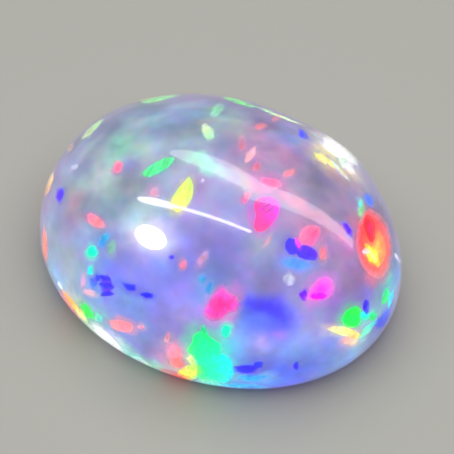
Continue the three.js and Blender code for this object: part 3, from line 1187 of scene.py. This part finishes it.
def opal_material(settings):
    """Clear, slightly milky opal under a wet polish, tinted by the colours stored on its points."""
    opal = Shading("polished_opal")
    tint, milkiness = opal.stored_colour("tint")
    glow, _ = opal.stored_colour("glow")
    wisps = opal.mapped(opal.noise(scale=1100, detail=5), *WISP_LIGHT)
    milk = opal.joined("MULTIPLY", milkiness, wisps)
    blush = opal.mapped(opal.noise(scale=650, detail=3), 0.0, 1.0)
    painted_glow = opal.multiplied(opal.multiplied(glow, wisps), opal.mixed(blush, *BLUSHES))
    shimmer = opal.mixed(SHIMMER, GREY, opal.noise(scale=2600, detail=4, output="Color"))
    doubled = opal.mixed(1.0, shimmer, shimmer, "ADD")
    marks = opal.noise(scale=2600, detail=2)
    lowest, highest = (settings.roughness * share for share in BLUR_SPREAD)
    opal.absorb(ABSORPTION_COLOUR, ABSORPTION_DENSITY)
    return opal.finish({
        "Base Color": tint,
        "Roughness": opal.mapped(marks, lowest, highest),
        "IOR": settings.refraction,
        "Transmission Weight": opal.mapped(milk, 1.0, 0.0, 0.0, 1.0),
        "Coat Weight": 1.0,
        "Coat Roughness": settings.polish,
        # Painted glow: the body, its clouds and the halos glow by themselves in place of light that the milky
        # stone would scatter
        "Emission Color": opal.multiplied(painted_glow, doubled),
        "Emission Strength": 1.0,
    })


def flash_material(name, settings, hues):
    """Painted light in place of the light that the stone's layers split, glowing by itself in fine bands and
    grains and fading to the body at its rim.
    """
    flash = Shading(name)
    flash.material.cycles.emission_sampling = "NONE"
    step, paleness = flash.stored_pair("spectrum")
    glow, share = flash.stored_pair("shade")
    mottle = flash.mapped(flash.noise(scale=4200, detail=4), -HUE_MOTTLE, HUE_MOTTLE)
    colour = flash.spectrum(flash.joined("ADD", step, mottle), hues)
    pale = flash.mixed(paleness, colour, WHITE)
    grain = flash.mapped(flash.noise(scale=11000, detail=3, stretch=GRAIN_STRETCH), *GRAIN_LIGHT)
    lit = flash.multiplied(pale, flash.joined("MULTIPLY", grain, glow))
    fray = flash.mapped(flash.noise(scale=6500, detail=3), -FRAY, FRAY)
    fade = flash.mapped(
        flash.joined("ADD", share, fray), 0.0, 1.0, settings.fade_start, 1.0, smooth=True
    )
    rim = flash.mixed(settings.rim_light, (*settings.rim_colour, 1), lit)
    seen = flash.mixed(fade, lit, rim)
    return flash.finish({
        "Base Color": flash.multiplied(seen, FLASH_DARKNESS),
        "Roughness": FLASH_ROUGHNESS,
        "Specular IOR Level": FLASH_SPECULAR,
        "Emission Color": seen,
        "Emission Strength": settings.brightness,
    })


@dataclass
class Place:
    """Where a flash or a cloud lies: its middle, its axes, its half sizes in metres and its turn."""

    middle: Vector
    axes: tuple
    half_size: tuple
    turn: float

    def distance(self, points):
        """Distance from the middle at some points, 1 at the half sizes."""
        half_long, half_wide, half_deep = self.half_size
        offset = points - np.array(self.middle)
        right, up, away = (offset @ np.array(axis) for axis in self.axes)
        turn = math.radians(self.turn)
        along = (right * math.cos(turn) + up * math.sin(turn)) / half_long
        across = (up * math.cos(turn) - right * math.sin(turn)) / half_wide
        return np.sqrt(along**2 + across**2 + (away / half_deep) ** 2)


@dataclass
class Halo:
    """Soft light round a flash, where the stone is clearer: its place and its colour."""

    place: Place
    colour: np.ndarray
    strength: float
    reach: float
    edge: float

    def share(self, points):
        """How much of the body's own light it takes the place of, at some points."""
        return self.strength * np.exp(-(self.place.distance(points) / self.reach) ** self.edge)

    def area(self):
        """How much of the surface it covers, as a number to sort by."""
        half_long, half_wide, _ = self.place.half_size
        return half_long * half_wide


def mesh_points(mesh):
    """Places of a mesh's points, one row each."""
    points = np.empty(len(mesh.vertices) * 3, dtype=np.float32)
    mesh.vertices.foreach_get("co", points)
    return points.reshape(-1, 3)


def noise_shifts(points, waves):
    """Sums of smooth noise at some points, for waves given as a size and a reach."""
    shifts = np.zeros(points.shape)
    for size, reach in waves:
        shifts += [noise.noise_vector(Vector(point) / size) * reach for point in points]
    return shifts


def cloud_place(view, cloud):
    """Where a cloud lies on the stone."""
    middle, _, _ = view.hit(cloud.seen_at)
    half_long, half_wide = cloud.half_size
    return Place(middle, view.axes(), (half_long * MM, half_wide * MM, CLOUD_DEPTH), cloud.turn)


def spectrum_colour(hues, name):
    """Colour of a hue of the flashes."""
    step, paleness = FLASH_HUES[name]
    first = int(min(step, len(SPECTRUM) - 2))
    low, high = (np.array(getattr(hues, SPECTRUM[index])) for index in (first, first + 1))
    colour = low + (high - low) * (step - first)
    return colour + (1 - colour) * paleness


def flash_halo(flash, place, hues):
    """The halo of a flash: weaker round a weak flash, wider and softer over a deep one."""
    mean = (spectrum_colour(hues, flash.hue) + spectrum_colour(hues, flash.far_hue)) / 2
    sunk = min(flash.depth / SOFT_DEPTH, 1.0)
    reach = HALO_REACH + HALO_DEEP_REACH * sunk
    edge = HALO_EDGE + (HALO_DEEP_EDGE - HALO_EDGE) * sunk
    return Halo(place, mean * flash.glow, min(flash.glow, 1.0), reach, edge)


def spread_of(corners):
    """Half sizes and turn of the oval that a closed outline fills best, in the outline's units."""
    points = np.array(corners, dtype=float)
    points -= points.mean(axis=0)
    sizes, directions = np.linalg.eigh(points.T @ points / len(points))
    along = directions[:, 1]
    turn = math.degrees(math.atan2(-along[1], along[0]))
    return math.sqrt(2 * sizes[1]), math.sqrt(2 * sizes[0]), turn


def seen_halo_place(view, flash):
    """Where a flash that the photograph shows lies on the stone."""
    middle, _, _ = view.hit_nearest(flash_centre(flash))
    if flash.corners is None:
        half_long, half_wide = (side / 2 * MM for side in flash.size)
        turn = flash.turn
    else:
        half_long, half_wide, turn = spread_of(flash.corners)
        half_long /= view.scale
        half_wide /= view.scale
    return Place(middle, view.axes(), (half_long, half_wide, HALO_DEPTH), turn)


def stone_colours(view, mesh, settings, hues, halos):
    """Tint with milkiness, and painted glow, at every point of the stone's mesh."""
    noise.seed_set(NOISE_SEED)
    points = mesh_points(mesh)
    count = len(points)
    mottle = 1 + noise_shifts(points, MOTTLES)
    points += noise_shifts(points, WAVERS).astype(np.float32)
    tint = np.tile(np.array(settings.body_colour), (count, 1))
    glow = np.tile(np.array(hues.lavender) * settings.body_glow, (count, 1))
    milk = np.full(count, settings.milkiness)
    for cloud in BODY_CLOUDS + BRIGHT_CLOUDS:
        colour = np.array(getattr(hues, cloud.hue))
        share = cloud.strength * np.exp(-cloud_place(view, cloud).distance(points) ** cloud.edge)
        tint += (colour / colour.max() * cloud.shade - tint) * share[:, None]
        glow += (colour * cloud.glow * settings.cloud_glow - glow) * share[:, None]
    for halo in halos:
        share = halo.share(points)
        clear = HALO_CLEARNESS + (1 - HALO_CLEARNESS) * halo.colour / halo.colour.max()
        tint += (clear - tint) * share[:, None]
        glow += (halo.colour * settings.halo_glow - glow) * share[:, None]
        milk -= milk * np.sqrt(share)
    tint = np.clip(tint * mottle, 0, 1)
    return np.column_stack((tint, milk)), np.column_stack((glow * mottle, np.ones(count)))


@dataclass
class Hidden:
    """A flash on a side that the photograph hides: its family, and its spot on the surface."""

    family: str
    flash: Flash
    spot: Vector
    normal: Vector
    glow_reach: float

    def place(self):
        """Where the light round the flash lies, along the surface."""
        axes = (*surface_axes(self.normal), self.normal)
        half_long, half_wide = (side / 2 * MM * self.glow_reach for side in self.flash.size)
        return Place(self.spot, axes, (half_long, half_wide, HALO_DEPTH), self.flash.turn)


def hidden_spot(view, rng):
    """A point of the surface that the photograph doesn't show, with its normal."""
    while True:
        angle = rng.uniform(0, 2 * math.pi)
        height = rng.uniform(*HIDDEN_HEIGHTS) * STONE_HEIGHT
        start = Vector((math.cos(angle) * STONE_LENGTH, math.sin(angle) * STONE_WIDTH, height))
        inward = Vector((-start.x, -start.y, 0)).normalized()
        spot, normal, _, _ = view.surface.ray_cast(start, inward)
        if spot is not None and normal.dot(view.forward) > HIDDEN_FACING:
            return spot, normal


def hidden_flashes(view, count):
    """Flashes on the sides that the photograph hides, of the same kinds as those it shows."""
    rng = random.Random(HIDDEN_SEED)
    made = []
    for index in range(count):
        spot, normal = hidden_spot(view, rng)
        family = HIDDEN_FAMILIES[index % len(HIDDEN_FAMILIES)]
        large = index % LARGE_HIDDEN_STEP == 0
        size = tuple(rng.uniform(*sides) for sides in (LARGE_HIDDEN_SIZES if large else HIDDEN_SIZES))
        turn = rng.uniform(0, 180)
        hues = rng.choice(HIDDEN_HUES[family])
        depth = rng.uniform(*HIDDEN_DEPTHS)
        glow = rng.uniform(*HIDDEN_GLOWS)
        flash = Flash(*hues, size, turn=turn, depth=depth, glow=glow)
        made.append(Hidden(family, flash, spot, normal, LARGE_GLOW_REACH if large else 1.0))
    return made


class OPAL_OT_stage(bpy.types.Operator):
    """Makes the floor, the soft light and the camera"""

    bl_idname = "opal.make_stage"
    bl_label = "Floor, light and camera"

    def execute(self, context):
        settings = context.scene.opal_stage
        make_floor(settings)
        make_world(settings)
        for lamp in LAMPS:
            make_lamp(lamp)
        make_camera(settings)
        context.scene.view_settings.view_transform = "Standard"
        return {"FINISHED"}


def make_floor(settings):
    """A plain pale floor just under the flat base."""
    signs = ((-1, -1), (1, -1), (1, 1), (-1, 1))
    points = [(x * FLOOR_HALF_SIDE, y * FLOOR_HALF_SIDE, -settings.floor_gap) for x, y in signs]
    floor = mesh_object("floor", points, [(0, 1, 2, 3)])
    paint = Shading("pale_floor")
    sockets = {"Base Color": (*settings.floor_colour, 1), "Roughness": FLOOR_ROUGHNESS}
    floor.data.materials.append(paint.finish(sockets))


def make_world(settings):
    """Soft even light from all round."""
    world = bpy.data.worlds.new("soft_surroundings")
    world.use_nodes = True
    background = world.node_tree.nodes["Background"]
    background.inputs["Color"].default_value = WORLD_COLOUR
    background.inputs["Strength"].default_value = settings.world_brightness
    bpy.context.scene.world = world


def make_lamp(lamp):
    """A round lamp, or a straight one between two points of the ceiling."""
    width = lamp["width"]
    data = bpy.data.lights.new(lamp["name"], "AREA")
    made = bpy.data.objects.new(lamp["name"], data)
    ends = [Vector((x, y, 1)) * LAMP_HEIGHT for x, y in lamp["ceiling"]]
    made.location = sum(ends, Vector()) / len(ends)
    if len(ends) == 1:
        data.shape = "DISK"
        data.size = width
        area = math.pi * width**2 / 4
        made.rotation_euler = made.location.to_track_quat("Z", "Y").to_euler()
    else:
        span = ends[1] - ends[0]
        rounded = lamp["name"] in ROUND_ENDED_LAMPS
        data.shape = "ELLIPSE" if rounded else "RECTANGLE"
        data.size = span.length
        data.size_y = width
        area = span.length * width * (math.pi / 4 if rounded else 1)
        made.rotation_euler = (0, 0, math.atan2(span.y, span.x))
    data.energy = lamp["radiance"] * math.pi * area
    light_or_reflect(made, lamp["name"] == "softbox")
    bpy.context.scene.collection.objects.link(made)


def light_or_reflect(lamp, lights):
    """Lets a lamp light the scene, or else only show as a reflection."""
    lamp.visible_diffuse = lights
    lamp.visible_transmission = lights
    lamp.visible_volume_scatter = lights
    lamp.visible_glossy = not lights


def make_camera(settings):
    """The photograph's camera."""
    data = bpy.data.cameras.new("camera")
    data.lens = settings.camera_lens
    data.sensor_width = SENSOR
    data.clip_start = CLIP_START
    data.clip_end = CLIP_END
    camera = bpy.data.objects.new("camera", data)
    back = towards_camera(settings)
    camera.location = CAMERA_TARGET + back * settings.camera_distance
    camera.rotation_euler = (-back).to_track_quat("-Z", "Y").to_euler()
    bpy.context.scene.collection.objects.link(camera)
    bpy.context.scene.camera = camera


class OPAL_OT_stone(bpy.types.Operator):
    """Makes the polished stone in place of the plain solid"""

    bl_idname = "opal.make_stone"
    bl_label = "Polished stone"

    def execute(self, context):
        scene = context.scene
        settings = scene.opal_stone
        points = stone_points(settings)
        rings = (len(points) - 2) // STEPS_AROUND
        stone = mesh_object("polished_opal", points, stone_faces(rings))
        view = View(scene.opal_stage, stone.data, settings.refraction)
        hues = scene.opal_hues
        halos = [
            flash_halo(flash, seen_halo_place(view, flash), hues)
            for flashes in FLASH_FAMILIES.values() for flash in flashes
        ]
        for hidden in hidden_flashes(view, scene.opal_flashes.hidden_count):
            halos.append(flash_halo(hidden.flash, hidden.place(), hues))
        halos.sort(key=Halo.area, reverse=True)
        tint, glow = stone_colours(view, stone.data, settings, hues, halos)
        write_colours(stone, "tint", tint)
        write_colours(stone, "glow", glow)
        stone.data.materials.append(opal_material(settings))
        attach(stone, "root")
        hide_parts("opal")
        return {"FINISHED"}


class OPAL_OT_flashes(bpy.types.Operator):
    """Makes the flashes of colour inside the stone"""

    bl_idname = "opal.make_flashes"
    bl_label = "Flashes of colour"

    def execute(self, context):
        scene = context.scene
        stone = scene.objects.get("polished_opal")
        if stone is None:
            raise RuntimeError("the flashes need the stone: make it first")
        view = View(scene.opal_stage, stone.data, scene.opal_stone.refraction)
        settings = scene.opal_flashes
        rng = random.Random(OUTLINE_SEED)
        meshes = {name: FlashMesh(settings.thickness) for name in FLASH_FAMILIES}
        for name, flashes in FLASH_FAMILIES.items():
            for flash in flashes:
                outline = corner_outline(flash, view) if flash.corners else sized_outline(flash, rng)
                meshes[name].add(flash, outline, seen_place(view, flash_centre(flash)))
        for hidden in hidden_flashes(view, settings.hidden_count):
            place = surface_place(view, hidden.spot, hidden.normal)
            meshes[hidden.family].add(hidden.flash, sized_outline(hidden.flash, rng), place)
        for name, collected in meshes.items():
            finish_flashes(name, collected, flash_material(name, settings, scene.opal_hues))
        return {"FINISHED"}


def finish_flashes(name, collected, material):
    """Makes one family of flashes a piece of the stone."""
    piece = mesh_object(name, collected.points, collected.faces)
    write_uv(piece, "spectrum", collected.spectrum)
    write_uv(piece, "shade", collected.shade)
    piece.data.materials.append(material)
    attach(piece, "root")


class OPAL_PT_panel(bpy.types.Panel):
    """Lists what makes the opal"""

    bl_idname = "OPAL_PT_panel"
    bl_label = "Opal"
    bl_space_type = "VIEW_3D"
    bl_region_type = "UI"
    bl_category = "Opal"

    def draw(self, context):
        layout = self.layout
        for operator in OPERATORS:
            layout.operator(operator.bl_idname)
        for group in SETTINGS:
            settings = getattr(context.scene, group)
            box = layout.box()
            for name in settings.__annotations__:
                box.prop(settings, name)


OPERATORS = (OPAL_OT_stage, OPAL_OT_stone, OPAL_OT_flashes)
SETTINGS = {
    "opal_stone": OpalStoneSettings,
    "opal_hues": OpalHueSettings,
    "opal_flashes": OpalFlashSettings,
    "opal_stage": OpalStageSettings,
}


def register():
    """Registers the settings, the operators and the panel."""
    for name, group in SETTINGS.items():
        bpy.utils.register_class(group)
        setattr(bpy.types.Scene, name, PointerProperty(type=group))
    for shown in (*OPERATORS, OPAL_PT_panel):
        bpy.utils.register_class(shown)


def unregister():
    """Takes away what register added."""
    for shown in (OPAL_PT_panel, *reversed(OPERATORS)):
        bpy.utils.unregister_class(shown)
    for name, group in SETTINGS.items():
        delattr(bpy.types.Scene, name)
        bpy.utils.unregister_class(group)


def main():
    """Builds the stage, the stone and its flashes."""
    register()
    bpy.ops.opal.make_stage()
    bpy.ops.opal.make_stone()
    bpy.ops.opal.make_flashes()


if __name__ == "__main__":
    main()
